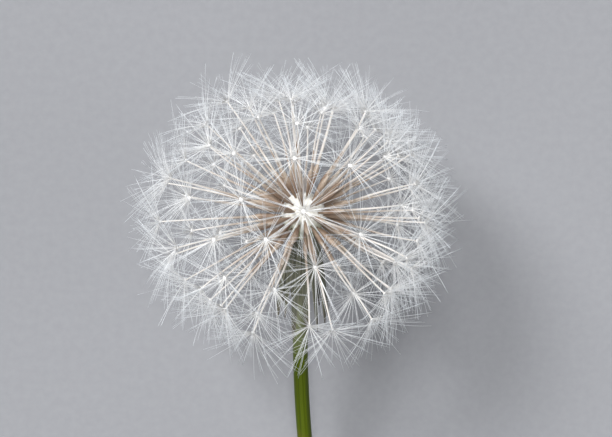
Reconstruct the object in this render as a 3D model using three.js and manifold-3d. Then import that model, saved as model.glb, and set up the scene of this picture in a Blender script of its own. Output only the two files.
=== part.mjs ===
// Dandelion seed head, picked with a length of its stem and laid on its side.
// A hollow stem carries a pale domed receptacle. Two rows of bracts are folded back along the
// stem, and the seeds stand out from the dome all round, each with a beak and a parachute.
// Units are millimetres, +Z is up, and the flower lies on the plane z = 0 with its stem
// towards -Y.

import * as THREE from 'three';
import * as BufferGeometryUtils from 'three/addons/utils/BufferGeometryUtils.js';
import Module from 'manifold-3d';

const wasm = await Module();
wasm.setup();

// ---- Driving dimensions ----------------------------------------------------------------

const RUNNING_GAP = 0.3; // clear space between a piece and what carries it

const HEAD_CENTRE = new THREE.Vector3(-0.1, 20.45, 20.0); // middle of the dome
const HEAD_TILT = 20; // degrees that the flower's axis points above the surface
const HEAD_FLATTENING = 1.6; // how much nearer the parachutes stand at the top of the head
const HEAD_FLATTENING_POWER = 4; // how closely the flattening keeps to the flower's axis

const DOME_RADIUS = 2.7;
const DOME_RINGS = 12;
const DOME_SIDES = 20;
const NECK_RADIUS = 1.4;
const NECK_TOP = -2.35; // heights along the flower's axis, from the middle of the dome
const NECK_SHOULDER = -2.6;
const NECK_FOOT = -3.6;

const STEM_RADIUS = 0.95;
const STEM_BORE_RADIUS = 0.55;
const STEM_BEND = new THREE.Vector3(-2.1, -28.0, 0); // sideways and along, from the stem's top
const STEM_END = new THREE.Vector3(6.0, -58.0, 0);
const STEM_STEPS = 20;
const STEM_ARC_SEGMENTS = 6;

const BRACT_THICKNESS = 0.3;
const BRACT_TIP_WIDTH = 0.25;
const BRACT_TAPER = 0.6; // power of the narrowing towards the tip: lower is blunter
const BRACT_STEPS = 8;
const INNER_BRACTS = 13;
const INNER_BRACT_SEAT = -3.0; // height of the row's bases on the flower's axis
const INNER_BRACT_BEND = [2.3, -4.5]; // out from the axis and along it
const INNER_BRACT_TIP = [3.5, -16.0];
const INNER_BRACT_WIDTH = [0.45, 1.6]; // at the base, and what it gains towards the tip
const OUTER_BRACTS = 7;
const OUTER_BRACT_TURN = 0.5; // share of the pitch by which the outer row is turned
const OUTER_BRACT_SEAT = -4.1;
const OUTER_BRACT_BEND = [1.7, -5.5];
const OUTER_BRACT_TIP = [2.0, -10.5];
const OUTER_BRACT_WIDTH = [0.8, 1.0];

const SEED_COUNT = 95; // all the seeds of the head, which share the room between them
const SEED_NODES = 38; // those made as solids: all that touch the surface, then an even choice
const SEED_POLAR_LIMIT = 136; // degrees from the flower's axis: the rest is the stem's room
const SEED_TOUCHING_BELOW = -0.75; // height of its unit vector where a seed meets the surface
const SPIRAL_POINTS = 1500; // places on the sphere that the seeds are chosen from
const ACHENE_LENGTH = 3.6;
const ACHENE_RADIUS = 0.38;
const ACHENE_FOOT = 0.35; // radius at its base, as a share of the widest
const ACHENE_SHOULDER = 0.5; // the same at its top
const ACHENE_WIDEST = 0.65; // where it is widest, as a share of its length
const ACHENE_SIDES = 6;
const CONE_LENGTH = 0.8;
const BEAK_RADIUS = 0.14;
const PAPPUS_DISTANCE = 17.5; // from the middle of the dome to the parachute's hub
const PAPPUS_HAIR_LENGTH = 6.9;
const PAPPUS_OPENING = 65; // degrees between the beak and the hairs
const PAPPUS_RAYS = 12; // each stands for a tuft of hairs
const RAY_ROOT_RADIUS = 0.45;
const RAY_THICKNESS = 0.1;
const RAY_FLOOR_CLEARANCE = 0.08; // height of a ray's middle where it lies on the surface
const RAY_STEPS = 16; // points tested along a ray when a seed is turned to find room
const TURN_STEPS = 12; // turns tried, over the angle between two rays
const NEIGHBOUR_ANGLE = 46; // degrees within which two seeds' rays can meet
const ROOM_WANTED = 2; // more room than this between two rays counts as enough

const MERGE_DISTANCE = 1e-4;

// Seeds of the upper half, by hand: [bearing from +Y towards +X, lean from upright], degrees.
const UPPER_SEEDS = [
  [0, 1], [-9, 23], [44, 28], [110, 25], [168, 22], [-124, 18], [-77, 26],
  [55, 45], [85, 45], [118, 52], [148, 43], [-159, 34], [-106, 40], [-49, 41], [-4, 44],
  [-129, 46], [-82, 55], [-25, 57], [10, 58], [33, 52], [177, 51], [166, 63], [-54, 60],
  [75, 62], [94, 66], [113, 70], [147, 74], [-157, 72], [-126, 72], [-105, 66], [-75, 70],
  [-93, 88], [76, 88], [16, 75], [-27, 76],
];

// ---- Finishes --------------------------------------------------------------------------

const stemFinish = new THREE.MeshStandardMaterial({ color: 0x5a6a14, roughness: 0.45, metalness: 0 });
const domeFinish = new THREE.MeshStandardMaterial({ color: 0xf0eedd, roughness: 0.7, metalness: 0 });
const bractFinish = new THREE.MeshStandardMaterial({ color: 0x7f826a, roughness: 0.6, metalness: 0 });
const seedFinish = new THREE.MeshStandardMaterial({ color: 0xcfc6b8, roughness: 0.6, metalness: 0 });

// ---- Shared helpers --------------------------------------------------------------------

/** The solid of a closed geometry, with its shared vertices merged. */
function solidOf(geometry) {
  const bare = geometry.clone();
  bare.deleteAttribute('normal');
  bare.deleteAttribute('uv');
  const merged = BufferGeometryUtils.mergeVertices(bare, MERGE_DISTANCE);
  return new wasm.Manifold(new wasm.Mesh({
    numProp: 3,
    vertProperties: new Float32Array(merged.attributes.position.array),
    triVerts: new Uint32Array(merged.index.array),
  }));
}

/** The geometry of a solid. */
function geometryOf(solid) {
  const mesh = solid.getMesh();
  const geometry = new THREE.BufferGeometry();
  geometry.setAttribute('position', new THREE.BufferAttribute(mesh.vertProperties, 3));
  geometry.setIndex(new THREE.BufferAttribute(mesh.triVerts, 1));
  geometry.computeVertexNormals();
  return geometry;
}

/** A turned shape about +Z, from [radius, height] points that start and end on the axis. */
function turned(points, sides) {
  const profile = points.map(([radius, height]) => new THREE.Vector2(radius, height));
  return new THREE.LatheGeometry(profile, sides).rotateX(Math.PI / 2);
}

/** A mesh with its node's name. */
function piece(name, geometry, finish) {
  const mesh = new THREE.Mesh(geometry, finish);
  mesh.name = name;
  return mesh;
}

/** Two-digit number for a name. */
function numbered(prefix, index) {
  return `${prefix}_${String(index + 1).padStart(2, '0')}`;
}

// ---- Stem ------------------------------------------------------------------------------

/** Unit vector of the flower's axis, from the stem to the top of the head. */
function headAxis() {
  const tilt = THREE.MathUtils.degToRad(HEAD_TILT);
  return new THREE.Vector3(0, Math.cos(tilt), Math.sin(tilt));
}

/** The hollow stem: it leaves the head along its axis and comes down to the surface. */
function stemGeometry() {
  const top = HEAD_CENTRE.clone().addScaledVector(headAxis(), NECK_FOOT - RUNNING_GAP);
  const drop = -STEM_BEND.y * Math.tan(THREE.MathUtils.degToRad(HEAD_TILT));
  const bend = top.clone().add(STEM_BEND).setZ(top.z - drop);
  const end = top.clone().add(STEM_END).setZ(STEM_RADIUS);
  const section = new THREE.Shape().absarc(0, 0, STEM_RADIUS, 0, 2 * Math.PI);
  section.holes.push(new THREE.Path().absarc(0, 0, STEM_BORE_RADIUS, 0, 2 * Math.PI, true));
  const geometry = new THREE.ExtrudeGeometry(section, {
    curveSegments: STEM_ARC_SEGMENTS,
    steps: STEM_STEPS,
    bevelEnabled: false,
    extrudePath: new THREE.QuadraticBezierCurve3(top, bend, end),
  });
  geometry.computeBoundingBox();
  return geometry.translate(0, 0, -geometry.boundingBox.min.z); // the cut end touches the surface
}

// ---- Receptacle ------------------------------------------------------------------------

/** The domed receptacle with its short neck, about +Z. */
function receptacleGeometry() {
  const foot = Math.acos(NECK_TOP / DOME_RADIUS);
  const dome = Array.from({ length: DOME_RINGS }, (_, ring) => {
    const polar = foot * (1 - ring / DOME_RINGS);
    return [DOME_RADIUS * Math.sin(polar), DOME_RADIUS * Math.cos(polar)];
  });
  const neck = [[0, NECK_FOOT], [NECK_RADIUS, NECK_FOOT], [NECK_RADIUS, NECK_SHOULDER]];
  return turned([...neck, ...dome, [0, DOME_RADIUS]], DOME_SIDES);
}

// ---- Bracts ----------------------------------------------------------------------------

/** Width of a blade that broadens from its base and then narrows to its tip. */
function bladeWidth(share, [base, gain]) {
  return Math.max(BRACT_TIP_WIDTH, (base + gain * share) * (1 - share) ** BRACT_TAPER);
}

/** A narrow leaf in the XZ plane: route is its middle line of (x, z) points, base to tip. */
function leafGeometry(route, width) {
  const geometry = new THREE.BoxGeometry(1, 1, 1, BRACT_STEPS, 2, 1);
  const spots = geometry.attributes.position;
  for (let i = 0; i < spots.count; i += 1) {
    const share = spots.getX(i) + 0.5;
    const middle = route.getPoint(share);
    const along = route.getTangent(share);
    const proud = spots.getZ(i) * BRACT_THICKNESS;
    const side = spots.getY(i) * bladeWidth(share, width);
    spots.setXYZ(i, middle.x - along.y * proud, side, middle.y + along.x * proud);
  }
  return geometry;
}

/** A row of equal bracts round the flower's axis, seated outside a core of a given radius. */
function bractRow(prefix, { count, turn, core, seat, bend, tip, width }) {
  const base = new THREE.Vector2(core + RUNNING_GAP + BRACT_THICKNESS / 2, seat);
  const route = new THREE.QuadraticBezierCurve(base, new THREE.Vector2(...bend), new THREE.Vector2(...tip));
  return Array.from({ length: count }, (_, index) => {
    const bract = piece(numbered(prefix, index), leafGeometry(route, width), bractFinish);
    bract.rotation.z = ((index + turn) * 2 * Math.PI) / count;
    return bract;
  });
}

/** The long inner row, folded back from the neck and spreading a little at the tips. */
function innerBracts() {
  return bractRow('inner_bract', {
    count: INNER_BRACTS,
    turn: 0,
    core: NECK_RADIUS,
    seat: INNER_BRACT_SEAT,
    bend: INNER_BRACT_BEND,
    tip: INNER_BRACT_TIP,
    width: INNER_BRACT_WIDTH,
  });
}

/** The short outer row, pressed to the stem under the inner one. */
function outerBracts() {
  return bractRow('outer_bract', {
    count: OUTER_BRACTS,
    turn: OUTER_BRACT_TURN,
    core: STEM_RADIUS,
    seat: OUTER_BRACT_SEAT,
    bend: OUTER_BRACT_BEND,
    tip: OUTER_BRACT_TIP,
    width: OUTER_BRACT_WIDTH,
  });
}

// ---- Where the seeds point -------------------------------------------------------------

/** Unit vector of a bearing and lean in degrees. */
function direction([bearing, lean]) {
  const [b, l] = [bearing, lean].map(THREE.MathUtils.degToRad);
  return new THREE.Vector3(Math.sin(l) * Math.sin(b), Math.sin(l) * Math.cos(b), Math.cos(l));
}

/** Points spread evenly on the unit sphere by the golden angle. */
function goldenSpiral(count) {
  const goldenAngle = Math.PI * (3 - Math.sqrt(5));
  return Array.from({ length: count }, (_, index) => {
    const z = 1 - (2 * index + 1) / count;
    const radius = Math.sqrt(1 - z * z);
    const angle = index * goldenAngle;
    return new THREE.Vector3(radius * Math.cos(angle), radius * Math.sin(angle), z);
  });
}

/** Adds to chosen the candidates farthest from all chosen so far, until it holds count. */
function fillEvenly(chosen, candidates, count) {
  const nearest = (spot) => Math.max(...chosen.map((other) => spot.dot(other)));
  while (chosen.length < count) {
    const closeness = candidates.map(nearest);
    chosen.push(candidates[closeness.indexOf(Math.min(...closeness))]);
  }
  return chosen;
}

/** Directions of all the seeds: the chosen upper ones, then even filling of the free room. */
function seedDirections() {
  const limit = Math.cos(THREE.MathUtils.degToRad(SEED_POLAR_LIMIT));
  const free = goldenSpiral(SPIRAL_POINTS).filter((spot) => spot.dot(headAxis()) > limit);
  return fillEvenly(UPPER_SEEDS.map(direction), free, SEED_COUNT);
}

/** Directions of the seeds made as solids. */
function nodeDirections() {
  const all = seedDirections();
  const touching = all.filter((spot) => spot.z < SEED_TOUCHING_BELOW);
  return fillEvenly(touching, all, SEED_NODES);
}

/** Distance of a seed's hub from the middle of the dome: the head is flatter at its top. */
function hubDistance(pointing) {
  return PAPPUS_DISTANCE - HEAD_FLATTENING * Math.max(0, pointing.dot(headAxis())) ** HEAD_FLATTENING_POWER;
}

// ---- Seeds -----------------------------------------------------------------------------

/** Achene, cone and beak about +Z, measured from the middle of the dome. */
function acheneGeometry(hub) {
  const base = DOME_RADIUS + RUNNING_GAP;
  const shoulder = base + ACHENE_LENGTH;
  const tip = rayPoint(hub, RAY_ROOT_RADIUS, 0).z + RAY_THICKNESS / 2;
  return turned([
    [0, base],
    [ACHENE_FOOT * ACHENE_RADIUS, base],
    [ACHENE_RADIUS, base + ACHENE_WIDEST * ACHENE_LENGTH],
    [ACHENE_SHOULDER * ACHENE_RADIUS, shoulder],
    [BEAK_RADIUS, shoulder + CONE_LENGTH],
    [BEAK_RADIUS, tip],
    [0, tip],
  ], ACHENE_SIDES);
}

/** Point of a ray's middle line, at a distance from the hub and an angle round the beak. */
function rayPoint(hub, distance, angle) {
  const opening = THREE.MathUtils.degToRad(PAPPUS_OPENING);
  const across = distance * Math.sin(opening);
  const rise = distance * Math.cos(opening);
  return new THREE.Vector3(across * Math.cos(angle), across * Math.sin(angle), hub + rise);
}

/** Moves a point of a seed up, in the seed's own frame, where it would sink below the surface. */
function keptAboveSurface(point, placing) {
  const up = new THREE.Vector3(0, 0, 1).applyQuaternion(placing.clone().invert());
  const lift = RAY_FLOOR_CLEARANCE - HEAD_CENTRE.z - point.dot(up);
  return lift > 0 ? point.addScaledVector(up, lift) : point;
}

/** The parachute: a thin star whose rays slope up from the hub, flattened by the surface. */
function pappusGeometry(hub, placing) {
  const halfPitch = Math.PI / PAPPUS_RAYS;
  const outline = Array.from({ length: 2 * PAPPUS_RAYS }, (_, corner) => {
    const distance = corner % 2 === 0 ? PAPPUS_HAIR_LENGTH : RAY_ROOT_RADIUS;
    const angle = corner * halfPitch;
    return new THREE.Vector2(distance * Math.cos(angle), distance * Math.sin(angle));
  });
  const geometry = new THREE.ExtrudeGeometry(
    new THREE.Shape(outline), { depth: RAY_THICKNESS, steps: 1, bevelEnabled: false });
  const spots = geometry.attributes.position;
  for (let i = 0; i < spots.count; i += 1) {
    const [x, y] = [spots.getX(i), spots.getY(i)];
    const middle = keptAboveSurface(rayPoint(hub, Math.hypot(x, y), Math.atan2(y, x)), placing);
    spots.setXYZ(i, middle.x, middle.y, middle.z + spots.getZ(i) - RAY_THICKNESS / 2);
  }
  return geometry;
}

/** Turns +Z to a direction, after a turn about it. */
function placingOf(pointing, turn) {
  const up = new THREE.Vector3(0, 0, 1);
  const about = new THREE.Quaternion().setFromAxisAngle(up, turn);
  return new THREE.Quaternion().setFromUnitVectors(up, pointing).multiply(about);
}

/** Points along all the rays of a seed, from the middle of the dome. */
function rayPoints(hub, placing) {
  const spots = [];
  for (let ray = 0; ray < PAPPUS_RAYS; ray += 1) {
    const angle = (ray * 2 * Math.PI) / PAPPUS_RAYS;
    const tip = keptAboveSurface(rayPoint(hub, PAPPUS_HAIR_LENGTH, angle), placing).applyQuaternion(placing);
    const root = rayPoint(hub, RAY_ROOT_RADIUS, angle).applyQuaternion(placing);
    for (let step = 0; step <= RAY_STEPS; step += 1) {
      spots.push(root.clone().lerp(tip, step / RAY_STEPS));
    }
  }
  return spots;
}

/** Smallest distance between two lots of points, or the room wanted if none is nearer. */
function clearance(spots, others) {
  let least = ROOM_WANTED ** 2;
  for (const spot of spots) {
    for (const other of others) {
      least = Math.min(least, spot.distanceToSquared(other));
    }
  }
  return Math.sqrt(least);
}

/** Turns a seed about its beak to where its rays are clearest of the others' rays. */
function turnToRoom(seed, others) {
  const reach = THREE.MathUtils.degToRad(NEIGHBOUR_ANGLE);
  const near = others.filter((other) => other.pointing.angleTo(seed.pointing) < reach);
  const spots = near.flatMap((other) => other.spots);
  for (let step = 0; step < TURN_STEPS; step += 1) {
    const placing = placingOf(seed.pointing, (step * 2 * Math.PI) / (PAPPUS_RAYS * TURN_STEPS));
    const option = { placing, spots: rayPoints(seed.hub, placing) };
    option.room = clearance(option.spots, spots);
    if (step === 0 || option.room > seed.room) {
      Object.assign(seed, option);
    }
  }
}

/** The seeds' hub distances and placings, each turned about its beak to clear the others. */
function placedSeeds() {
  const placed = [];
  for (const pointing of nodeDirections()) {
    const seed = { pointing, hub: hubDistance(pointing) };
    turnToRoom(seed, placed);
    placed.push(seed);
  }
  for (const seed of placed) {
    turnToRoom(seed, placed.filter((other) => other !== seed));
  }
  return placed;
}

/** The seeds as solids, each one body from achene to hair tips. */
function seeds() {
  return placedSeeds().map(({ hub, placing }, index) => {
    const whole = solidOf(acheneGeometry(hub)).add(solidOf(pappusGeometry(hub, placing)));
    const seed = piece(numbered('seed', index), geometryOf(whole), seedFinish);
    seed.position.copy(HEAD_CENTRE);
    seed.quaternion.copy(placing);
    return seed;
  });
}

// ---- The whole flower ------------------------------------------------------------------

const head = new THREE.Group();
head.position.copy(HEAD_CENTRE);
head.rotation.x = THREE.MathUtils.degToRad(HEAD_TILT - 90);
head.add(piece('receptacle', receptacleGeometry(), domeFinish), ...innerBracts(), ...outerBracts());

const flower = new THREE.Group();
flower.add(piece('stem', stemGeometry(), stemFinish), head, ...seeds());

export default flower;
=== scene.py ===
"""A dandelion seed head, picked and laid on its side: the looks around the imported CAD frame.

The hollow stem, the pitted receptacle, two rows of folded-back bracts and every one of the
seeds are modelled here in place of the CAD solids, in the same frame and at the same size.
"""

import logging
import math
import random
from dataclasses import dataclass, field, replace
from enum import Enum
from functools import partial
from typing import Callable, Iterable, Sequence

import bmesh
import bpy
from bmesh.types import BMesh, BMFace
from bpy.types import Material, Mesh, Node, NodeSocket, NodeTree
from mathutils import Matrix, Quaternion, Vector

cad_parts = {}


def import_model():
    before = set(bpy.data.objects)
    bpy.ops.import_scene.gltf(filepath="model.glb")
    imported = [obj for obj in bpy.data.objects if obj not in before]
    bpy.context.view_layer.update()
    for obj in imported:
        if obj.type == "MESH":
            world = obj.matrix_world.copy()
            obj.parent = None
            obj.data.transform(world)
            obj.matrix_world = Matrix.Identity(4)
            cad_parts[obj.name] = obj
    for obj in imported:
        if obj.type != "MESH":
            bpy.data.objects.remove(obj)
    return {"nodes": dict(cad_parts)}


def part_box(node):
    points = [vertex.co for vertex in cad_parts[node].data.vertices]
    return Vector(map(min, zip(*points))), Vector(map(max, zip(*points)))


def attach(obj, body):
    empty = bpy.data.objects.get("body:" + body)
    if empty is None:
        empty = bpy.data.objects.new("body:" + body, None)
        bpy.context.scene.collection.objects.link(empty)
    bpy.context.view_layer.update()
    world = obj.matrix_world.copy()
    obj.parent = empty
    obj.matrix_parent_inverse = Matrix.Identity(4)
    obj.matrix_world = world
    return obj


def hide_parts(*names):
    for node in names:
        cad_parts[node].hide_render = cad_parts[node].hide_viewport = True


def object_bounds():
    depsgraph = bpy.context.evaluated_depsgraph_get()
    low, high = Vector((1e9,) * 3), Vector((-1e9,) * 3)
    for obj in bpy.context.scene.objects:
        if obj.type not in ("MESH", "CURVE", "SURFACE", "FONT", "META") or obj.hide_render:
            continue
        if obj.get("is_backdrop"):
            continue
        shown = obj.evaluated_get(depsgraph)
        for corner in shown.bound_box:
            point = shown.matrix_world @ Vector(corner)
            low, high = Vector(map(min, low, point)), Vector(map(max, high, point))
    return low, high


log = logging.getLogger("dandelion")

MM = 0.001
BODY = "root"
BAKE_MAP = "OFBake"
SHADER = "Principled BSDF"
DRAW_SEED = 2026
MERGE_DISTANCE = 1e-7
SAME_WAY = 1 - 1e-6  # two unit vectors whose product is over this are one direction
WORLD_UP = Vector((0.0, 0.0, 1.0))

Stops = tuple[tuple[float, str], ...]  # a ramp's positions and sRGB hex colours


class Slot(Enum):
    """The flower's material slots."""

    STEM = "stem"
    RECEPTACLE = "receptacle"
    BRACT = "bract"
    SEED = "seed"


class SeedPart(Enum):
    """The parts of a seed, numbered as their materials are."""

    HUSK = 0
    BEAK = 1
    PAPPUS = 2


@dataclass(frozen=True)
class Strip:
    """An upright strip of a piece's map: across it round the shape, up it along the shape."""

    start: float
    width: float
    foot: float = 0.0
    top: float = 1.0


# ---- Small tools ----


def linear(hex_colour: str) -> tuple[float, float, float, float]:
    """Turns an sRGB hex colour into linear RGBA.

    Args:
        hex_colour: Six hex digits with a leading #.

    Returns:
        Linear red, green, blue and an alpha of 1.
    """
    parts = [int(hex_colour[i : i + 2], 16) / 255 for i in (1, 3, 5)]
    values = [c / 12.92 if c <= 0.04045 else ((c + 0.055) / 1.055) ** 2.4 for c in parts]
    return (*values, 1.0)


def set_inputs(tree: NodeTree, node: Node, inputs: dict) -> None:
    """Sets and links the inputs of a shader node.

    Args:
        tree: The node tree that it stands in.
        node: The node.
        inputs: Input name to a value, or to the output socket linked to it.
    """
    for name, value in inputs.items():
        if isinstance(value, NodeSocket):
            tree.links.new(value, node.inputs[name])
        else:
            node.inputs[name].default_value = value


def add_node(
    tree: NodeTree, kind: str, inputs: dict | None = None, stops: Stops = (), **settings: object
) -> Node:
    """Adds a shader node with its settings and links.

    Args:
        tree: The node tree to add it to.
        kind: Blender's name of the node type.
        inputs: Input name to a value, or to the output socket linked to it.
        stops: The stops of a colour ramp.
        settings: Attributes of the node itself.

    Returns:
        The new node.
    """
    node = tree.nodes.new(kind)
    for name, value in settings.items():
        setattr(node, name, value)
    set_inputs(tree, node, inputs or {})
    if stops:
        elements = node.color_ramp.elements
        while len(elements) < len(stops):
            elements.new(1.0)
        for element, (position, colour) in zip(elements, stops):
            element.position = position
            element.color = linear(colour)
    return node


def new_material(name: str) -> tuple[Material, NodeTree]:
    """Makes a node material.

    Args:
        name: Its name.

    Returns:
        The material and its node tree.
    """
    material = bpy.data.materials.new(name)
    material.use_nodes = True
    return material, material.node_tree


def map_share(tree: NodeTree, axis: str) -> NodeSocket:
    """Returns how far along its bake map's X or Y axis each point of a piece lies."""
    place = add_node(tree, "ShaderNodeUVMap", uv_map=BAKE_MAP).outputs["UV"]
    return add_node(tree, "ShaderNodeSeparateXYZ", {"Vector": place}).outputs[axis]


def patches(tree: NodeTree, size: float, detail: float) -> NodeSocket:
    """Adds a pattern of soft patches.

    Args:
        tree: The material's node tree.
        size: The patches' size.
        detail: Octaves of finer patches in them.

    Returns:
        The pattern's level, from 0 to 1.
    """
    place = add_node(tree, "ShaderNodeTexCoord").outputs["Object"]
    grain = {"Vector": place, "Scale": 1 / size, "Detail": detail}
    return add_node(tree, "ShaderNodeTexNoise", grain).outputs["Fac"]


def streaks(tree: NodeTree, counts: tuple[float, float, float], detail: float) -> NodeSocket:
    """Adds a pattern of streaks that follows a piece's bake map.

    Args:
        tree: The material's node tree.
        counts: Streaks to the width and height of the map, and a third number of 1.
        detail: Octaves of finer streaks in them.

    Returns:
        The pattern's level, from 0 to 1.
    """
    place = add_node(tree, "ShaderNodeUVMap", uv_map=BAKE_MAP).outputs["UV"]
    stretched = add_node(tree, "ShaderNodeMapping", {"Vector": place, "Scale": counts})
    grain = {"Vector": stretched.outputs["Vector"], "Scale": 1.0, "Detail": detail}
    return add_node(tree, "ShaderNodeTexNoise", grain).outputs["Fac"]


def on_ring(radius: float, angle: float, height: float = 0.0) -> Vector:
    """Returns the point at an angle round +Z, at a radius and a height."""
    return Vector((radius * math.cos(angle), radius * math.sin(angle), height))


def rolled(
    rings: int, sides: int, place: Callable[[float, float], Vector], closed: bool = True
) -> BMesh:
    """Rolls a flat grid into a tube, with a bake map that runs around and along it.

    Args:
        rings: Steps along the tube.
        sides: Steps around it.
        place: Gives the point at a share of the length and an angle round the tube.
        closed: Whether the two ends are capped.

    Returns:
        The tube, its faces outwards.
    """
    tube = bmesh.new()
    tube.loops.layers.uv.new(BAKE_MAP)
    bmesh.ops.create_grid(tube, x_segments=rings, y_segments=sides, size=0.5, calc_uvs=True)
    for vert in tube.verts:
        vert.co = place(vert.co.x + 0.5, (vert.co.y + 0.5) * math.tau)
    bmesh.ops.remove_doubles(tube, verts=tube.verts, dist=MERGE_DISTANCE)
    if closed:
        bmesh.ops.holes_fill(tube, edges=tube.edges, sides=sides)
    bmesh.ops.recalc_face_normals(tube, faces=tube.faces)
    return tube


def place_on_map(shape: BMesh, strip: Strip, faces: Iterable[BMFace] | None = None) -> None:
    """Moves a shape's bake map, which fills the unit square, into a strip of it.

    Args:
        shape: The shape.
        strip: The strip.
        faces: The faces to move, or all of them.
    """
    layer = shape.loops.layers.uv[BAKE_MAP]
    rise = strip.top - strip.foot
    for face in shape.faces if faces is None else faces:
        for loop in face.loops:
            along, around = loop[layer].uv
            loop[layer].uv = (strip.start + strip.width * around, strip.foot + rise * along)


def as_mesh(shape: BMesh, name: str) -> Mesh:
    """Turns a finished bmesh into mesh data with smooth faces, and frees it.

    Args:
        shape: The bmesh.
        name: Name of the mesh data.

    Returns:
        The mesh data.
    """
    for face in shape.faces:
        face.smooth = True
    data = bpy.data.meshes.new(name)
    shape.to_mesh(data)
    shape.free()
    return data


def join(whole: BMesh, data: Mesh, part: SeedPart, placing: Matrix | None = None) -> None:
    """Adds a part's mesh to a seed.

    Args:
        whole: The seed.
        data: The part's mesh.
        part: Which part it is.
        placing: Where it goes, if it isn't in place.
    """
    verts, faces = len(whole.verts), len(whole.faces)
    whole.from_mesh(data)
    whole.verts.ensure_lookup_table()
    whole.faces.ensure_lookup_table()
    if placing is not None:
        bmesh.ops.transform(whole, matrix=placing, verts=whole.verts[verts:])
    for face in whole.faces[faces:]:
        face.material_index = part.value


def add_piece(
    name: str,
    data: Mesh,
    materials: Iterable[Material],
    nodes: Sequence[str] = (),
) -> None:
    """Adds a finished piece to the scene, riding on the flower's one body.

    Args:
        name: The piece's name.
        data: Its mesh, in place in the row's frame.
        materials: Its materials, in the order of the mesh's material numbers.
        nodes: CAD nodes that it stands for.
    """
    piece = bpy.data.objects.new(name, data)
    bpy.context.scene.collection.objects.link(piece)
    for material in materials:
        data.materials.append(material)
    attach(piece, BODY)
    if nodes:
        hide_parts(*nodes)
    log.info("%s: %d faces", name, len(data.polygons))


# ---- Finishes ----


@dataclass(frozen=True)
class Tint:
    """A second colour that a finish takes on between two levels of a pattern."""

    colour: str
    start: float
    full: float
    strength: float

    def over(self, tree: NodeTree, base: NodeSocket, pattern: NodeSocket) -> NodeSocket:
        """Lays the tint over a colour.

        Args:
            tree: The material's node tree.
            base: The colour under it.
            pattern: The pattern's level.

        Returns:
            The tinted colour.
        """
        levels = {
            "Value": pattern, "From Min": self.start, "From Max": self.full,
            "To Max": self.strength}
        depth = add_node(tree, "ShaderNodeMapRange", levels).outputs["Result"]
        colours = {"Factor": depth, "A": base, "B": linear(self.colour)}
        return add_node(tree, "ShaderNodeMix", colours, data_type="RGBA").outputs["Result"]


@dataclass(frozen=True)
class StemSkin:
    """Living dandelion stem: smooth, faintly ribbed green skin that gives a soft waxy gloss."""

    green: Stops = ((0.3, "#364303"), (0.7, "#505e0a"))
    blush: Tint = Tint("#6d652c", 0.55, 0.8, 0.45)
    blush_size: float = 6.25 * MM
    # The youngest 8 mm below the head are pale, and the green has come in by 15 mm.
    young: Tint = Tint("#8d8f78", 0.26, 0.14, 0.9)
    # Fibres run the stem's length: 40 streaks around its 6 mm girth, each some 15 mm long.
    fibres: tuple[float, float, float] = (40.0, 4.0, 1.0)
    fibre_height: float = 0.05 * MM
    fibre_bump: float = 0.25
    roughness: float = 0.45
    gloss: float = 0.14

    def material(self) -> Material:
        """Mixes fibre streaks, a slight blush in patches and a pale top.

        Returns:
            The material.
        """
        material, tree = new_material("living_stem_skin")
        fibres = streaks(tree, self.fibres, detail=3.0)
        green = add_node(tree, "ShaderNodeValToRGB", {"Fac": fibres}, self.green)
        blushes = patches(tree, self.blush_size, detail=2.0)
        blushed = self.blush.over(tree, green.outputs["Color"], blushes)
        skin = self.young.over(tree, blushed, map_share(tree, "Y"))
        relief = {"Height": fibres, "Strength": self.fibre_bump, "Distance": self.fibre_height}
        set_inputs(tree, tree.nodes[SHADER], {
            "Base Color": skin,
            "Normal": add_node(tree, "ShaderNodeBump", relief).outputs["Normal"],
            "Roughness": self.roughness,
            "Specular IOR Level": self.gloss,
        })
        return material


@dataclass(frozen=True)
class ReceptacleFlesh:
    """Spongy receptacle: matt cream tissue, greener towards the stem, darker in its pits."""

    body: Stops = ((0.0, "#a6ab86"), (0.25, "#a6ab86"), (0.5, "#faf9f1"))
    pit: Tint = Tint("#a89a82", 0.5, 0.75, 0.35)
    # The mottling has the size of the tissue's soft lumps.
    lump_size: float = 0.42 * MM
    lump_height: float = 0.06 * MM
    lump_bump: float = 0.5
    roughness: float = 0.75

    def material(self) -> Material:
        """Mixes the colours along the dome, with small soft mottling.

        Returns:
            The material.
        """
        material, tree = new_material("spongy_receptacle")
        body = add_node(tree, "ShaderNodeValToRGB", {"Fac": map_share(tree, "X")}, self.body)
        lumps = patches(tree, self.lump_size, detail=3.0)
        relief = {"Height": lumps, "Strength": self.lump_bump, "Distance": self.lump_height}
        set_inputs(tree, tree.nodes[SHADER], {
            "Base Color": self.pit.over(tree, body.outputs["Color"], lumps),
            "Normal": add_node(tree, "ShaderNodeBump", relief).outputs["Normal"],
            "Roughness": self.roughness,
        })
        return material


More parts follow.
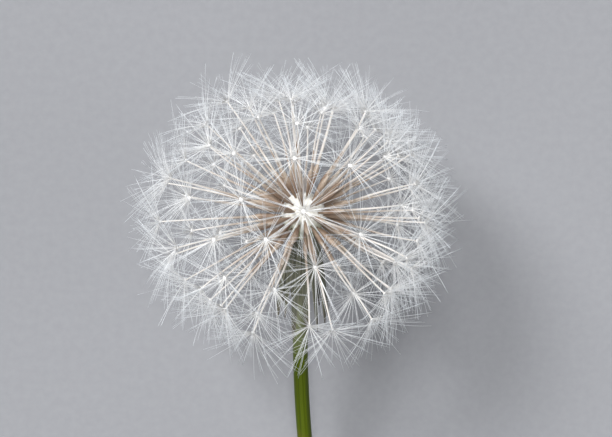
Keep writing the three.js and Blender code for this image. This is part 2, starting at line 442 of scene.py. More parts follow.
@dataclass(frozen=True)
class BractLeaf:
    """Drying bract: thin grey-green leaf with pale papery edges and a browned tip."""

    # From edge to edge: pale margins and midrib, and grey-green between them.
    across: Stops = (
        (0.0, "#858371"), (0.16, "#5d5f4e"), (0.44, "#5d5f4e"), (0.5, "#858371"),
        (0.56, "#5d5f4e"), (0.84, "#5d5f4e"), (1.0, "#858371"),
    )
    tip: Tint = Tint("#5f5448", 0.86, 1.0, 0.85)
    between_veins: Stops = ((0.3, "#c8c8c8"), (0.7, "#ffffff"))
    # About 12 veins lie across the leaf, 0.1 mm apart, and run its length.
    veins: tuple[float, float, float] = (2.5, 24.0, 1.0)
    vein_height: float = 0.04 * MM
    vein_bump: float = 0.35
    roughness: float = 0.6

    def material(self) -> Material:
        """Mixes pale margins, a brown tip and fine veins.

        Returns:
            The material.
        """
        material, tree = new_material("drying_bract_leaf")
        across = add_node(tree, "ShaderNodeValToRGB", {"Fac": map_share(tree, "Y")}, self.across)
        leaf = self.tip.over(tree, across.outputs["Color"], map_share(tree, "X"))
        veins = streaks(tree, self.veins, detail=3.0)
        light = add_node(tree, "ShaderNodeValToRGB", {"Fac": veins}, self.between_veins)
        veined = add_node(
            tree, "ShaderNodeMix", {"Factor": 1.0, "A": leaf, "B": light.outputs["Color"]},
            data_type="RGBA", blend_type="MULTIPLY")
        relief = {"Height": veins, "Strength": self.vein_bump, "Distance": self.vein_height}
        set_inputs(tree, tree.nodes[SHADER], {
            "Base Color": veined.outputs["Result"],
            "Normal": add_node(tree, "ShaderNodeBump", relief).outputs["Normal"],
            "Roughness": self.roughness,
        })
        return material


@dataclass(frozen=True)
class AcheneHusk:
    """Ripe achene husk: dry ribbed fruit wall, tan below and paler towards its cone."""

    along: Stops = ((0.0, "#947e6b"), (0.45, "#b09a87"), (0.8, "#cabaa9"), (1.0, "#e2d9ce"))
    # Fruits that stand 2 mm apart differ in ripeness.
    ripeness: Tint = Tint("#846753", 0.5, 0.7, 0.6)
    ripeness_size: float = 2.0 * MM
    # Flecks of about 0.2 mm across and 0.5 mm along, coarser than real ones so that they show.
    fleck: Tint = Tint("#6c594a", 0.5, 0.75, 0.55)
    flecks: tuple[float, float, float] = (30.0, 9.0, 1.0)
    roughness: float = 0.62

    def material(self) -> Material:
        """Mixes the tans along the husk, with dark flecks along its ribs.

        Returns:
            The material.
        """
        material, tree = new_material("ripe_achene_husk")
        husk = add_node(tree, "ShaderNodeValToRGB", {"Fac": map_share(tree, "Y")}, self.along)
        ripeness = patches(tree, self.ripeness_size, detail=0.0)
        fruit = self.ripeness.over(tree, husk.outputs["Color"], ripeness)
        flecked = self.fleck.over(tree, fruit, streaks(tree, self.flecks, detail=2.0))
        inputs = {"Base Color": flecked, "Roughness": self.roughness}
        set_inputs(tree, tree.nodes[SHADER], inputs)
        return material


@dataclass(frozen=True)
class BeakStalk:
    """Dry beak: a thin pale straw stalk, pinkish at the fruit and white at the parachute."""

    along: Stops = ((0.0, "#b1a192"), (0.35, "#c8bcb1"), (0.9, "#efebe6"))
    # Beaks that lie some 6 mm apart differ in how far the sun has bleached them.
    bleach: Tint = Tint("#f1ece6", 0.45, 0.65, 0.85)
    bleach_size: float = 6.25 * MM
    roughness: float = 0.45

    def material(self) -> Material:
        """Mixes a pink tan that fades to white, more bleached on some beaks.

        Returns:
            The material.
        """
        material, tree = new_material("dry_beak_stalk")
        straw = add_node(tree, "ShaderNodeValToRGB", {"Fac": map_share(tree, "Y")}, self.along)
        bleaching = patches(tree, self.bleach_size, detail=0.0)
        bleached = self.bleach.over(tree, straw.outputs["Color"], bleaching)
        inputs = {"Base Color": bleached, "Roughness": self.roughness}
        set_inputs(tree, tree.nodes[SHADER], inputs)
        return material


@dataclass(frozen=True)
class PappusHair:
    """Dry pappus hair: hollow white bristle, silvery and slightly glossy, cool at its tip."""

    along: Stops = ((0.0, "#fefdfb"), (0.25, "#fafbfc"), (1.0, "#e8edf2"))
    roughness: float = 0.35

    def material(self) -> Material:
        """Mixes a warm white at the hub that turns silver along the hair.

        Returns:
            The material.
        """
        material, tree = new_material("dry_pappus_hair")
        white = add_node(tree, "ShaderNodeValToRGB", {"Fac": map_share(tree, "Y")}, self.along)
        inputs = {"Base Color": white.outputs["Color"], "Roughness": self.roughness}
        set_inputs(tree, tree.nodes[SHADER], inputs)
        return material


@dataclass(frozen=True)
class StudioCard:
    """Matt studio card: plain pale grey with a barely seen tooth."""

    grey: Stops = ((0.3, "#909195"), (0.7, "#949599"))
    tooth_size: float = 1.0 * MM
    roughness: float = 0.9
    gloss: float = 0.2

    def material(self) -> Material:
        """Mixes the two greys of the floor.

        Returns:
            The material.
        """
        material, tree = new_material("matt_studio_card")
        tooth = patches(tree, self.tooth_size, detail=2.0)
        grey = add_node(tree, "ShaderNodeValToRGB", {"Fac": tooth}, self.grey)
        set_inputs(tree, tree.nodes[SHADER], {
            "Base Color": grey.outputs["Color"],
            "Roughness": self.roughness,
            "Specular IOR Level": self.gloss,
        })
        return material


# ---- Layout of the head ----


def direction(bearing: float, lean: float) -> Vector:
    """Gives the unit vector of a direction.

    Args:
        bearing: Degrees from +Y towards +X.
        lean: Degrees from upright.

    Returns:
        The unit vector.
    """
    turn, tip = math.radians(bearing), math.radians(lean)
    return Vector((math.sin(tip) * math.sin(turn), math.sin(tip) * math.cos(turn), math.cos(tip)))


def fill_evenly(chosen: list[Vector], candidates: list[Vector], count: int) -> list[Vector]:
    """Adds the candidates that are farthest from all chosen so far.

    Args:
        chosen: Unit vectors to start from.
        candidates: Unit vectors to choose from.
        count: How many there are in the end.

    Returns:
        The chosen unit vectors, those given first.
    """
    chosen = list(chosen)
    closeness = [max(spot.dot(other) for other in chosen) for spot in candidates]
    while len(chosen) < count:
        pick = candidates[closeness.index(min(closeness))]
        chosen.append(pick)
        closeness = [max(old, spot.dot(pick)) for old, spot in zip(closeness, candidates)]
    return chosen


@dataclass(frozen=True)
class HeadLayout:
    """Where the head lies and which way its axis and seeds point, as in the CAD frame."""

    centre: Vector
    tilt: float = math.radians(20)
    seed_count: int = 95
    seed_nodes: int = 38
    polar_limit: float = math.radians(136)
    candidates: int = 1500
    touching_below: float = -0.75
    # Seeds of the upper half: (bearing from +Y towards +X, lean from upright), degrees.
    upper_seeds: tuple[tuple[int, int], ...] = (
        (0, 1), (-9, 23), (44, 28), (110, 25), (168, 22), (-124, 18), (-77, 26),
        (55, 45), (85, 45), (118, 52), (148, 43), (-159, 34), (-106, 40), (-49, 41), (-4, 44),
        (-129, 46), (-82, 55), (-25, 57), (10, 58), (33, 52), (177, 51), (166, 63), (-54, 60),
        (75, 62), (94, 66), (113, 70), (147, 74), (-157, 72), (-126, 72), (-105, 66), (-75, 70),
        (-93, 88), (76, 88), (16, 75), (-27, 76),
    )

    @classmethod
    def from_frame(cls, dome_radius: float) -> "HeadLayout":
        """Finds the middle of the dome from the CAD receptacle's box.

        Args:
            dome_radius: Radius of the receptacle's dome.

        Returns:
            The layout.
        """
        low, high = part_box("receptacle")
        return cls(Vector(((low.x + high.x) / 2, high.y - dome_radius, high.z - dome_radius)))

    @property
    def axis(self) -> Vector:
        """Unit vector from the stem to the top of the head."""
        return Vector((0.0, math.cos(self.tilt), math.sin(self.tilt)))

    @property
    def placing(self) -> Matrix:
        """Turns +Z to the head's axis and moves the origin to the middle of the dome."""
        return Matrix.Translation(self.centre) @ Matrix.Rotation(self.tilt - math.pi / 2, 4, "X")

    def golden_spiral(self) -> list[Vector]:
        """Spreads points evenly on the unit sphere by the golden angle.

        Returns:
            Their unit vectors.
        """
        golden_angle = math.pi * (3 - math.sqrt(5))
        spots = []
        for index in range(self.candidates):
            z = 1 - (2 * index + 1) / self.candidates
            radius = math.sqrt(1 - z * z)
            spots.append(on_ring(radius, index * golden_angle, z))
        return spots

    def seed_directions(self) -> list[Vector]:
        """Picks the directions of all the seeds.

        Returns:
            Unit vectors, those of seeds with a CAD node first and in the nodes' order.
        """
        limit = math.cos(self.polar_limit)
        free = [spot for spot in self.golden_spiral() if spot.dot(self.axis) > limit]
        seeds = fill_evenly([direction(*pair) for pair in self.upper_seeds], free, self.seed_count)
        touching = [spot for spot in seeds if spot.z < self.touching_below]
        nodes = fill_evenly(touching, seeds, self.seed_nodes)
        return nodes + [spot for spot in seeds if all(spot.dot(node) < SAME_WAY for node in nodes)]


# ---- Stem ----


@dataclass(frozen=True)
class Stem:
    """The hollow stem: a smooth bow from the head down to its cut end on the surface."""

    layout: HeadLayout
    radius: float = 0.95 * MM
    wall: float = 0.4 * MM
    top_radius: float = 1.4 * MM
    flare: float = 2.5 * MM
    top_height: float = -3.55 * MM
    node_top_height: float = -3.9 * MM
    bend: Vector = field(default_factory=lambda: Vector((-2.1, -28.0, 0.0)) * MM)
    end: Vector = field(default_factory=lambda: Vector((6.0, -58.0, 0.0)) * MM)
    ribs: int = 14
    rib_depth: float = 0.035
    rib_twist: float = math.radians(286)
    rings: int = 140
    sides: int = 56

    def centre_line(self, share: float) -> tuple[Vector, Vector]:
        """Gives a point of the stem's middle line and the way it runs.

        Args:
            share: 0 at the head, 1 at the cut end.

        Returns:
            The point and the unit tangent.
        """
        top = self.layout.centre + self.layout.axis * self.node_top_height
        bend = top + self.bend
        bend.z = top.z + self.bend.y * math.tan(self.layout.tilt)
        end = top + self.end
        end.z = self.radius
        start = self.layout.centre + self.layout.axis * self.top_height
        point = start.lerp(bend, share).lerp(bend.lerp(end, share), share)
        tangent = (bend - start).lerp(end - bend, share).normalized()
        return point, tangent

    def skin_point(self, share: float, angle: float) -> Vector:
        """Gives a point of the ribbed outside.

        Args:
            share: 0 at the head, 1 at the cut end.
            angle: Angle round the stem.

        Returns:
            The point.
        """
        point, tangent = self.centre_line(share)
        side = tangent.cross(WORLD_UP).normalized()
        over = side.cross(tangent)
        from_head = share * abs(self.end.y)
        swell = (self.top_radius - self.radius) * math.exp(-from_head / self.flare)
        groove = self.rib_depth * (0.5 - 0.5 * math.cos(self.ribs * angle + self.rib_twist * share))
        radius = (self.radius + swell) * (1 - groove)
        return point + (side * math.cos(angle) + over * math.sin(angle)) * radius

    def build(self) -> None:
        """Builds the stem with its bore and wall."""
        tube = rolled(self.rings, self.sides, self.skin_point, closed=False)
        place_on_map(tube, Strip(0.0, 1.0))
        bmesh.ops.solidify(tube, geom=tube.faces[:], thickness=self.wall)
        data = as_mesh(tube, "stem_tube")
        add_piece("stem_tube", data, [StemSkin().material()], ["stem"])


# ---- Receptacle ----


@dataclass(frozen=True)
class Receptacle:
    """The domed receptacle with a shallow rimmed pit under every seed, and its short neck."""

    layout: HeadLayout
    radius: float = 2.7 * MM
    neck_radius: float = 1.4 * MM
    neck_top: float = -2.35 * MM
    neck_foot: float = -3.6 * MM
    neck_share: float = 0.12
    pit_radius: float = 0.24 * MM
    pit_depth: float = 0.14 * MM
    pit_edge: float = 0.8
    rim_place: float = 1.5
    rim_width: float = 0.55
    rim_height: float = 0.07 * MM
    rings: int = 120
    sides: int = 120

    def outline(self, share: float) -> tuple[float, float]:
        """Gives the smooth outline's radius and height on the head's axis.

        Args:
            share: 0 at the neck's foot, 1 at the top of the dome.

        Returns:
            Radius and height.
        """
        foot = math.acos(self.neck_top / self.radius)
        if share > self.neck_share:
            polar = foot * (1 - share) / (1 - self.neck_share)
            return max(0.0, self.radius * math.sin(polar)), self.radius * math.cos(polar)
        rise = share / self.neck_share
        start = self.radius * math.sin(foot)
        waist = self.neck_radius + (start - self.neck_radius) * rise**2
        return waist, self.neck_foot + (self.neck_top - self.neck_foot) * rise

    def relief(self, way: Vector, seeds: list[Vector]) -> float:
        """Gives how far the surface stands out in a direction.

        Args:
            way: Unit vector from the middle of the dome.
            seeds: Unit vectors of the seeds.

        Returns:
            Height over the smooth dome, less than nothing in a pit.
        """
        nearest = max(way.dot(seed) for seed in seeds)
        away = math.acos(min(1.0, nearest)) * self.radius / self.pit_radius
        rim = self.rim_height * math.exp(-(((away - self.rim_place) / self.rim_width) ** 2))
        return rim - self.pit_depth * math.exp(-((away / self.pit_edge) ** 4))

    def skin_point(self, share: float, angle: float, seeds: list[Vector]) -> Vector:
        """Gives a point of the pitted surface, about +Z.

        Args:
            share: 0 at the neck's foot, 1 at the top of the dome.
            angle: Angle round the axis.
            seeds: Unit vectors of the seeds.

        Returns:
            The point.
        """
        radius, height = self.outline(share)
        spot = on_ring(radius, angle, height)
        if height > self.neck_top:
            way = spot.normalized()
            spot += way * self.relief(way, seeds)
        return spot

    def build(self, directions: list[Vector]) -> None:
        """Builds the receptacle.

        Args:
            directions: Unit vectors of all the seeds in the row's frame.
        """
        upright = self.layout.placing.to_3x3().inverted()
        seeds = [upright @ way for way in directions]
        dome = rolled(self.rings, self.sides, partial(self.skin_point, seeds=seeds))
        bmesh.ops.transform(dome, matrix=self.layout.placing, verts=dome.verts)
        data = as_mesh(dome, "receptacle_dome")
        materials = [ReceptacleFlesh().material()]
        add_piece("receptacle_dome", data, materials, ["receptacle"])


# ---- Bracts ----


@dataclass(frozen=True)
class BractRow:
    """One row of folded-back bracts, each a thin keeled blade with a drawn-out tip."""

    layout: HeadLayout
    prefix: str
    count: int
    turn: float
    # Radius and height on the head's axis of the blade's base, bend and tip, in millimetres.
    route: tuple[tuple[float, float], ...]
    base_width: float
    growth: float
    taper: float = 0.55
    thickness: float = 0.16 * MM
    keel: float = 0.3
    ripple: float = 0.12
    ripple_turn: float = 11.0
    wander: tuple[float, float] = (-0.35 * MM, 0.7 * MM)
    roll: float = math.radians(28)
    shortest: float = 0.86
    rings: int = 36
    across: int = 10

    @classmethod
    def inner(cls, layout: HeadLayout) -> "BractRow":
        """Returns the long row that is folded back from the neck."""
        route = ((1.42, -2.9), (2.3, -4.3), (3.3, -15.6))
        return cls(layout, "inner_bract", 13, 0.0, route, 0.6 * MM, 2.0 * MM)

    @classmethod
    def outer(cls, layout: HeadLayout) -> "BractRow":
        """Returns the short row that is pressed to the stem under the inner one."""
        route = ((1.32, -3.8), (1.9, -5.2), (2.2, -10.4))
        return cls(layout, "outer_bract", 7, 0.5, route, 0.85 * MM, 1.9 * MM)

    def middle_line(self, share: float, bend_out: float, tip_out: float) -> tuple[Vector, Vector]:
        """Gives a point of the blade's middle line in the XZ plane, and the way it runs.

        Args:
            share: 0 at the base, 1 at the tip.
            bend_out: How far the blade's bend stands out from its row.
            tip_out: How far its tip does.

        Returns:
            The point and the unit tangent.
        """
        base, bend, tip = (Vector((x, 0.0, z)) * MM for x, z in self.route)
        bend.x += bend_out
        tip.x += tip_out
        point = base.lerp(bend, share).lerp(bend.lerp(tip, share), share)
        return point, (bend - base).lerp(tip - bend, share).normalized()

    def width(self, share: float) -> float:
        """Returns the blade's width: narrow at its base, widest past its middle, then a point."""
        return (self.base_width + self.growth * share) * (1 - share) ** self.taper

    def leaf(self, draw: random.Random) -> BMesh:
        """Shapes one blade about +Z.

        Args:
            draw: Where its small differences come from.

        Returns:
            The blade, as a closed thin shell.
        """
        bend_out, tip_out = draw.uniform(*self.wander), draw.uniform(*self.wander)
        roll = draw.uniform(-1, 1) * self.roll
        wave, length = draw.uniform(0, math.tau), draw.uniform(self.shortest, 1.0)
        leaf = bmesh.new()
        leaf.loops.layers.uv.new(BAKE_MAP)
        bmesh.ops.create_grid(
            leaf, x_segments=self.rings, y_segments=self.across, size=0.5, calc_uvs=True)
        for vert in leaf.verts:
            share, side = vert.co.x + 0.5, vert.co.y * 2
            point, tangent = self.middle_line(share * length, bend_out, tip_out)
            outward = Vector((-tangent.z, 0.0, tangent.x))
            half = max(self.width(share), self.thickness) / 2
            lean = roll * share
            ripple = self.ripple * math.sin(self.ripple_turn * share + wave + side) * side**2
            raised = half * (self.keel * (1 - side**2) + ripple + side * math.sin(lean))
            vert.co = point + Vector((0.0, side * half * math.cos(lean), 0.0)) + outward * raised
        bmesh.ops.solidify(leaf, geom=leaf.faces[:], thickness=self.thickness)
        bmesh.ops.recalc_face_normals(leaf, faces=leaf.faces)
        # So thin and bent a shell can come out of that inside out.
        if leaf.calc_volume(signed=True) < 0:
            bmesh.ops.reverse_faces(leaf, faces=leaf.faces)
        return leaf

    def build(self, material: Material, draw: random.Random) -> None:
        """Builds the row, one piece to a bract.

        Args:
            material: The leaf finish.
            draw: Where the small differences come from.
        """
        for index in range(self.count):
            leaf = self.leaf(draw)
            angle = (index + self.turn) * math.tau / self.count
            placing = self.layout.placing @ Matrix.Rotation(angle, 4, "Z")
            bmesh.ops.transform(leaf, matrix=placing, verts=leaf.verts)
            node = f"{self.prefix}_{index + 1:02d}"
            add_piece(f"{node}_leaf", as_mesh(leaf, node), [material], [node])


# ---- Seeds ----


@dataclass(frozen=True)
class Achene:
    """The seed's fruit with its cone and beak, about +Z from the middle of the dome."""

    base: float = 2.62 * MM
    length: float = 3.98 * MM
    cone: float = 0.8 * MM
    radius: float = 0.38 * MM
    foot: float = 0.25
    widest: float = 0.65
    shoulder: float = 0.5
    cone_curve: float = 0.7
    flatness: float = 0.8
    ribs: int = 10
    groove: float = 0.2
    groove_end: float = 0.2
    rings: int = 22
    spine_shares: tuple[float, ...] = (0.5, 0.58, 0.66, 0.74)
    spine_radius: float = 0.05 * MM
    spine_length: float = 0.26 * MM
    spine_sides: int = 3
    beak_radius: float = 0.155 * MM
    beak_tip_radius: float = 0.095 * MM
    beak_sunk: float = 0.16 * MM
    beak_sides: int = 7
    beak_rings: int = 14
    husk_strip: Strip = Strip(0.0, 0.45)
    beak_strip: Strip = Strip(0.5, 0.2)

    @property
    def top(self) -> float:
        """Distance of the cone's top from the middle of the dome."""
        return self.base + self.length + self.cone

    def outline(self, share: float) -> float:
        """Gives the fruit's radius.

        Args:
            share: 0 at its base, 1 at the top of its cone.

        Returns:
            The radius.
        """
        along = share * (self.length + self.cone) / self.length
        if along < self.widest:
            swell = math.sin(along / self.widest * math.pi / 2)
            return self.radius * (self.foot + (1 - self.foot) * swell)
        if along < 1.0:
            fall = (along - self.widest) / (1 - self.widest)
            return self.radius * (1.0 - (1 - self.shoulder) * fall**2)
        rise = min(1.0, (along - 1.0) * self.length / self.cone)
        shoulder = self.radius * self.shoulder
        return shoulder + (self.beak_radius - shoulder) * rise**self.cone_curve

    def husk_point(self, share: float, angle: float) -> Vector:
        """Gives a point of the ribbed husk.

        Args:
            share: 0 at its base, 1 at the top of its cone.
            angle: Angle round it.

        Returns:
            The point.
        """
        valley = 0.5 - 0.5 * math.cos(self.ribs * angle)
        ribbed = min(1.0, (1 - share) / self.groove_end)
        radius = self.outline(share) * (1 - self.groove * valley * ribbed)
        point = on_ring(radius, angle, self.base + share * (self.top - self.base))
        point.y *= self.flatness
        return point

    def beak_point(self, share: float, angle: float, reach: float, bow: Vector) -> Vector:
        """Gives a point of the bowed beak.

        Args:
            share: 0 in the cone, 1 at the parachute.
            angle: Angle round it.
            reach: Distance of its end from the middle of the dome.
            bow: How far its middle stands off the straight line, and which way.

        Returns:
            The point.
        """
        start = self.top - self.beak_sunk
        radius = self.beak_radius + (self.beak_tip_radius - self.beak_radius) * share
        straight = on_ring(radius, angle, start + share * (reach - start))
        return straight + bow * math.sin(share * math.pi)

    def fruit(self) -> BMesh:
        """Shapes the ribbed fruit with its rows of small spines near the top.

        Returns:
            The fruit.
        """
        fruit = rolled(self.rings, 2 * self.ribs, self.husk_point)
        place_on_map(fruit, self.husk_strip)
        smooth_faces = len(fruit.faces)
        for share in self.spine_shares:
            for rib in range(self.ribs):
                angle = rib * math.tau / self.ribs
                out = on_ring(1.0, angle)
                foot = Matrix.Translation(self.husk_point(share, angle) + out * self.spine_radius)
                lie = (out + WORLD_UP).to_track_quat("Z", "Y").to_matrix().to_4x4()
                bmesh.ops.create_cone(
                    fruit, cap_ends=True, segments=self.spine_sides, radius1=self.spine_radius,
                    radius2=0.0, depth=self.spine_length, matrix=foot @ lie, calc_uvs=True)
        fruit.faces.ensure_lookup_table()
        spines = replace(self.husk_strip, foot=self.spine_shares[0], top=self.spine_shares[-1])
        place_on_map(fruit, spines, fruit.faces[smooth_faces:])
        return fruit

    def beak(self, reach: float, bow: Vector) -> Mesh:
        """Shapes the thin beak.

        Args:
            reach: Distance of its end from the middle of the dome.
            bow: How far its middle stands off the straight line, and which way.

        Returns:
            The beak as mesh data.
        """
        place = partial(self.beak_point, reach=reach, bow=bow)
        beak = rolled(self.beak_rings, self.beak_sides, place)
        place_on_map(beak, self.beak_strip)
        return as_mesh(beak, "beak")


@dataclass(frozen=True)
class HairPlace:
    """Where a hair stands on its hub: its angle, its turn to its tuft, its kind and its scale."""

    angle: float
    swing: float
    kind: int
    scale: float


@dataclass(frozen=True)
class Parachute:
    """The pappus: a hub at the beak's end and a spray of fine hairs."""

    hairs: int = 58
    length: float = 6.9 * MM
    length_range: tuple[float, float] = (0.9, 1.04)
    root_radius: float = 0.028 * MM
    tip_radius: float = 0.014 * MM
    least_bend: float = math.radians(4)
    most_bend: float = math.radians(20)
    rings: int = 6
    sides: int = 3
    kinds: int = 14
    opening: float = math.radians(65)
    spread: float = math.radians(19)
    tufts: int = 18
    tuft_wander: float = 0.35
    tuft_lean: tuple[float, float] = (0.5, 0.24)
    tuft_scale: tuple[float, float] = (0.74, 1.12)
    tuft_pull: tuple[float, float] = (0.6, 1.0)
    lean_within: float = 0.06
    scale_within: tuple[float, float] = (0.94, 1.04)
    loose_share: float = 0.25
    loose_lean: tuple[float, float] = (0.5, 0.35)
    loose_scale: tuple[float, float] = (0.75, 1.0)
    loose_pull: tuple[float, float] = (-0.3, 0.3)
    hub_radius: float = 0.3 * MM
    hub_flatness: float = 0.5
    hub_sides: int = 10
    hub_rings: int = 6
    root_ring: float = 0.1 * MM
    hair_strip: Strip = Strip(0.75, 0.25)
    hub_strip: Strip = Strip(0.75, 0.25, 0.0, 0.04)

    def hair_point(
        self, share: float, angle: float, start: float, bend: float, length: float
    ) -> Vector:
        """Gives a point of a bent hair in the XZ plane, rooted at the origin.

        Args:
            share: 0 at its root, 1 at its tip.
            angle: Angle round it.
            start: Angle between +Z and the hair at its root.
            bend: How much farther over it leans at its tip.
            length: Its length.

        Returns:
            The point.
        """
        over = start + bend * share
        x = math.cos(start) - math.cos(over)
        z = math.sin(over) - math.sin(start)
        middle = Vector((x, 0.0, z)) * (length / bend)
        radius = self.tip_radius + (self.root_radius - self.tip_radius) * (1 - share)
        out = Vector((math.cos(over), 0.0, -math.sin(over))) * math.cos(angle)
        return middle + (out + Vector((0.0, math.sin(angle), 0.0))) * radius

    def hair_kinds(self, draw: random.Random) -> list[Mesh]:
        """Shapes hairs of several leans, bends and lengths.

        Args:
            draw: Where their small differences come from.

        Returns:
            The hairs as mesh data, the most upright first.
        """
        kinds = []
        for index in range(self.kinds):
            lean = self.opening + self.spread * (2 * index / (self.kinds - 1) - 1)
            bend = draw.uniform(self.least_bend, self.most_bend)
            length = self.length * draw.uniform(*self.length_range)
            place = partial(self.hair_point, start=lean - bend / 2, bend=bend, length=length)
            hair = rolled(self.rings, self.sides, place)
            place_on_map(hair, self.hair_strip)
            kinds.append(as_mesh(hair, "hair"))
        return kinds

    def hub(self) -> Mesh:
        """Shapes the small flattened knob that the hairs spring from.

        Returns:
            The knob as mesh data.
        """
        knob = bmesh.new()
        knob.loops.layers.uv.new(BAKE_MAP)
        bmesh.ops.create_uvsphere(
            knob, u_segments=self.hub_sides, v_segments=self.hub_rings,
            radius=self.hub_radius, calc_uvs=True)
        place_on_map(knob, self.hub_strip)
        bmesh.ops.scale(knob, vec=(1.0, 1.0, self.hub_flatness), verts=knob.verts)
        return as_mesh(knob, "hub")

    def spray(self, draw: random.Random) -> list[HairPlace]:
        """Lays out one parachute's hairs, most of them leaning together in tufts.

        Args:
            draw: Where its small differences come from.

        Returns:
            The places of the hairs.
        """
        pitch = math.tau / self.tufts
        wander = self.tuft_wander
        homes = [(tuft + 0.5 + draw.uniform(-wander, wander)) * pitch for tuft in range(self.tufts)]
        leans = [draw.gauss(*self.tuft_lean) for _ in homes]
        scales = [draw.uniform(*self.tuft_scale) for _ in homes]
        places = []
        for index in range(self.hairs):
            angle = (index + draw.uniform(-0.5, 0.5)) * math.tau / self.hairs
            turns, within = divmod(angle, math.tau)
            tuft = int(within / pitch) % self.tufts
            if draw.random() < self.loose_share:
                pull, lean = draw.uniform(*self.loose_pull), draw.gauss(*self.loose_lean)
                scale = draw.uniform(*self.loose_scale)
            else:
                pull = draw.uniform(*self.tuft_pull)
                lean = leans[tuft] + draw.uniform(-self.lean_within, self.lean_within)
                scale = scales[tuft] * draw.uniform(*self.scale_within)
            swing = (homes[tuft] + turns * math.tau - angle) * pull
            kind = round(min(max(lean, 0.0), 1.0) * (self.kinds - 1))
            places.append(HairPlace(angle, swing, kind, scale))
        return places


@dataclass(frozen=True)
class SeedMaker:
    """Makes every seed of the head, each one piece from achene to hair tips."""

    layout: HeadLayout
    floor: float
    achene: Achene = field(default_factory=Achene)
    parachute: Parachute = field(default_factory=Parachute)
    hub_distance: float = 17.5 * MM
    flattening: float = 1.6 * MM
    flattening_power: int = 4
    reach_change: float = 3.3 * MM
    side_reach: float = 1.0 * MM
    bow: float = 0.3 * MM
    nod: float = math.radians(3.5)
    lie_height: float = 0.04 * MM

    def reach(self, way: Vector, draw: random.Random) -> float:
        """Gives the distance of a seed's hub from the middle of the dome.

        The head is flatter at its top and stands out farther on its -X side than on its +X
        side, and the seeds that point sideways and down differ most.

        Args:
            way: The direction that the seed points in.
            draw: Where its small difference comes from.

        Returns:
            The distance.
        """
        crown = max(0.0, way.dot(self.layout.axis)) ** self.flattening_power
        change = self.reach_change * draw.random() * (1 - max(0.0, way.z))
        side = self.side_reach * way.x * abs(way.x)
        return self.hub_distance - self.flattening * crown - change - side

    def seed(self, way: Vector, kinds: list[Mesh], hub: Mesh, draw: random.Random) -> BMesh:
        """Puts one seed together in the row's frame.

        Args:
            way: The direction it points in.
            kinds: Hairs to choose from.
            hub: The knob under the hairs.
            draw: Where its small differences come from.

        Returns:
            The seed.
        """
        reach = self.reach(way, draw)
        bow = on_ring(draw.uniform(-1, 1) * self.bow, draw.uniform(0, math.tau))
        seed = self.achene.fruit()
        beak = self.achene.beak(reach, bow)
        join(seed, beak, SeedPart.BEAK)
        bpy.data.meshes.remove(beak)
        nodding = Matrix.Rotation(draw.gauss(0, 1) * self.nod, 4, "X")
        spun = Matrix.Rotation(draw.uniform(0, math.tau), 4, "Z")
        hub_place = Matrix.Translation(WORLD_UP * reach) @ spun @ nodding
        join(seed, hub, SeedPart.PAPPUS, hub_place)
        root = Matrix.Translation((self.parachute.root_ring, 0.0, 0.0))
        for place in self.parachute.spray(draw):
            stand = hub_place @ Matrix.Rotation(place.angle, 4, "Z") @ root
            turned = stand @ Matrix.Rotation(place.swing, 4, "Z") @ Matrix.Scale(place.scale, 4)
            join(seed, kinds[place.kind], SeedPart.PAPPUS, turned)
        aim = WORLD_UP.rotation_difference(way) @ Quaternion(WORLD_UP, draw.uniform(0, math.tau))
        placing = Matrix.Translation(self.layout.centre) @ aim.to_matrix().to_4x4()
        bmesh.ops.transform(seed, matrix=placing, verts=seed.verts)
        # Hairs that would sink below the surface are pressed flat on it.
        for vert in seed.verts:
            vert.co.z = max(vert.co.z, self.floor + self.lie_height)
        return seed

    def build(self, directions: list[Vector], draw: random.Random) -> None:
        """Builds all the seeds.

        Args:
            directions: Unit vectors of the seeds, those with a CAD node first.
            draw: Where the small differences come from.
        """
        kinds = self.parachute.hair_kinds(draw)
        hub = self.parachute.hub()
        materials = [AcheneHusk().material(), BeakStalk().material(), PappusHair().material()]
        for index, way in enumerate(directions):
            name = f"seed_{index + 1:02d}"
            seed = self.seed(way, kinds, hub, draw)
            nodes = [name] if index < self.layout.seed_nodes else []
            add_piece(f"{name}_whole", as_mesh(seed, name), materials, nodes)
        for data in [*kinds, hub]:
            bpy.data.meshes.remove(data)


# ---- Studio ----


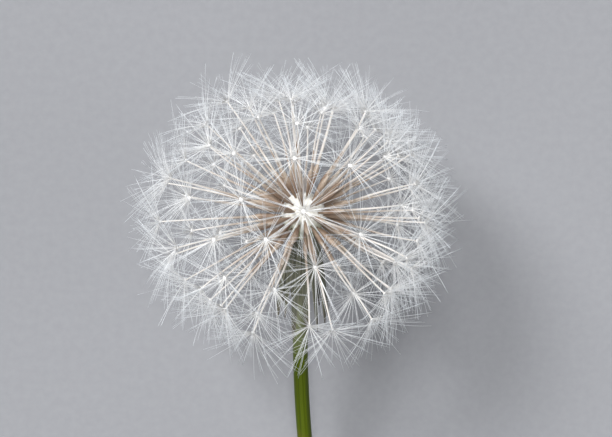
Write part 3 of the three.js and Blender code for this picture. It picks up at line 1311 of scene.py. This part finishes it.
@dataclass(frozen=True)
class Studio:
    """Plain pale floor, soft lights and the camera over the laid-down flower."""

    layout: HeadLayout
    floor_size: float = 8.0
    room: str = "#dfe3e8"
    room_strength: float = 0.2
    distance: float = 350.0 * MM
    view_width: float = 76.5 * MM
    aim: tuple[float, float] = (0.3 * MM, -0.55 * MM)
    sensor: float = 36.0
    nearest: float = 10.0 * MM

    def build_floor(self, height: float) -> None:
        """Makes the floor that the flower lies on.

        Args:
            height: Its height in the row's frame.
        """
        sheet = bmesh.new()
        bmesh.ops.create_grid(
            sheet, x_segments=1, y_segments=1, size=self.floor_size / 2,
            matrix=Matrix.Translation(WORLD_UP * height))
        floor = bpy.data.objects.new("floor", as_mesh(sheet, "floor"))
        floor.data.materials.append(StudioCard().material())
        bpy.context.scene.collection.objects.link(floor)
        floor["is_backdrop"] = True

    def add_light(
        self, name: str, bearing: float, height: float, spread: float, strength: float
    ) -> None:
        """Adds a wide, even studio light, as of a large soft panel far off.

        Args:
            name: Its name.
            bearing: Degrees from +Y towards +X.
            height: Degrees above the surface.
            spread: Degrees that it fills as seen from the flower.
            strength: Watts per square metre square on to it.
        """
        light = bpy.data.lights.new(name, "SUN")
        light.angle, light.energy = math.radians(spread), strength
        lamp = bpy.data.objects.new(name, light)
        away = direction(bearing, 90 - height)
        lamp.location = self.layout.centre + away
        lamp.rotation_mode = "QUATERNION"
        lamp.rotation_quaternion = away.to_track_quat("Z", "Y")
        bpy.context.scene.collection.objects.link(lamp)

    def build_lights(self) -> None:
        """Adds a key from the upper left, a top light, low fills and a dim pale room."""
        self.add_light("key", bearing=-45, height=50, spread=20, strength=3.1)
        self.add_light("top", bearing=0, height=86, spread=12, strength=1.3)
        self.add_light("fill", bearing=95, height=28, spread=35, strength=0.5)
        self.add_light("foot", bearing=-150, height=28, spread=35, strength=0.5)
        scene = bpy.context.scene
        scene.view_settings.view_transform = "Standard"
        scene.world = bpy.data.worlds.new("room")
        scene.world.use_nodes = True
        background = scene.world.node_tree.nodes["Background"]
        background.inputs["Color"].default_value = linear(self.room)
        background.inputs["Strength"].default_value = self.room_strength

    def build_camera(self) -> None:
        """Sets the camera straight above the head, the stem towards the foot of the view."""
        lens = bpy.data.cameras.new("above")
        lens.sensor_width = self.sensor
        lens.lens = self.sensor * self.distance / self.view_width
        lens.clip_start = self.nearest
        camera = bpy.data.objects.new("above", lens)
        camera.location = self.layout.centre + Vector((*self.aim, self.distance))
        bpy.context.scene.collection.objects.link(camera)
        bpy.context.scene.camera = camera


# ---- Putting it together ----


def main() -> None:
    """Builds the flower and its studio."""
    logging.basicConfig(level=logging.INFO, format="%(name)s %(message)s")
    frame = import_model()
    cad_box = [list(corner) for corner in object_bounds()]
    log.info("%d CAD nodes to stand for", len(frame["nodes"]))
    floor = cad_box[0][2]
    draw = random.Random(DRAW_SEED)

    layout = HeadLayout.from_frame(Receptacle.radius)
    studio = Studio(layout)
    studio.build_camera()
    studio.build_lights()
    studio.build_floor(floor)

    directions = layout.seed_directions()
    Stem(layout).build()
    Receptacle(layout).build(directions)
    leaf = BractLeaf().material()
    BractRow.inner(layout).build(leaf, draw)
    BractRow.outer(layout).build(leaf, draw)
    SeedMaker(layout, floor).build(directions, draw)


if __name__ == "__main__":
    main()
